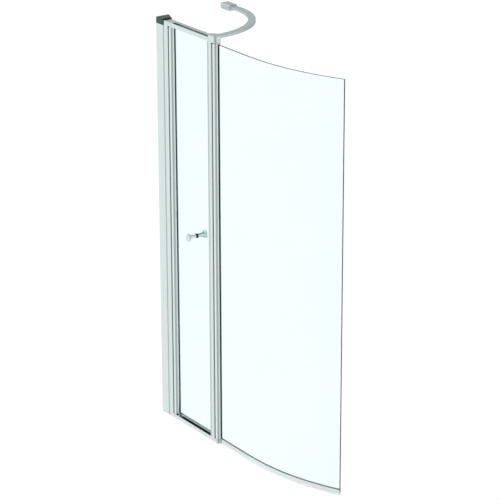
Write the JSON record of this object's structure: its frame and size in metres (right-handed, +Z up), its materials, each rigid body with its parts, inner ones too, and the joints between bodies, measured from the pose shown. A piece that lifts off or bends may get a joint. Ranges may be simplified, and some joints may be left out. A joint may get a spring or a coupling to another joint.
{
  "type": "shower screen with door",
  "caption": "Bath shower screen: an aluminium portal with a small hinged glass door at the wall, a hinged curved glass panel beside it, and a bent stay bar to the wall.",
  "frame": {"origin": "on the wall plane, at the middle of the glass thickness, at the level of the bath rim under the frame", "axes": "+X along the screen away from the wall, +Y towards the bath, +Z up"},
  "size_m": [0.9096, 0.3147, 1.453],
  "materials": {
    "aluminium": "bright anodised",
    "chrome": "polished",
    "dark_plastic": "moulded, satin",
    "black_rubber": "extruded, matt",
    "clear_glass": "toughened, polished edges",
    "clear_seal": "translucent, extruded",
    "grey_plastic": "moulded",
    "steel": "stainless"
  },
  "bodies": {
    "frame": {"wall_channel": "aluminium", "jamb_profile": "aluminium", "header_rail": "aluminium", "sill_rail": "aluminium", "hinge_block_top": "aluminium", "hinge_block_bottom": "aluminium", "post_block_top": "aluminium", "post_block_bottom": "aluminium", "post_cap": "aluminium", "lock_stile": "aluminium", "stay_bar": "aluminium", "stay_wall_bracket": "chrome", "wall_channel_cap": "dark_plastic", "stay_collar": "dark_plastic", "sill_strip": "black_rubber", "hinge_gap_seal": "black_rubber", "screen_gap_seal": "black_rubber", "lock_stile_seal": "black_rubber", "jamb_screws": "steel", "corner_screws": "steel", "pivot_pins": "steel", "stay_screw": "steel", "stay_grub_screw": "steel"},
    "door": {"door_hinge_stile": "aluminium", "door_pivot_bushes": "dark_plastic", "door_glass": "clear_glass", "door_gasket": "black_rubber", "door_edge_seal": "clear_seal", "knob_front": "chrome", "knob_rear": "chrome", "knob_stud": "steel", "knob_washers": "black_rubber"},
    "screen": {"screen_hinge_stile": "aluminium", "screen_pivot_bushes": "dark_plastic", "curved_glass": "clear_glass", "screen_gasket": "black_rubber", "screen_pocket_plug": "grey_plastic", "screen_bottom_seal": "clear_seal"}
  },
  "joints": [
    {"name": "door_hinge", "type": "hinge", "parent": "frame", "child": "door", "pos_m": [0.0773, -0.0012, 0.7], "axis": [0, 0, -1], "range_deg": [0, 100]},
    {"name": "screen_hinge", "type": "hinge", "parent": "frame", "child": "screen", "pos_m": [0.3377, -0.0012, 0.7], "axis": [0, 0, -1], "range_deg": [0, 90]}
  ]
}
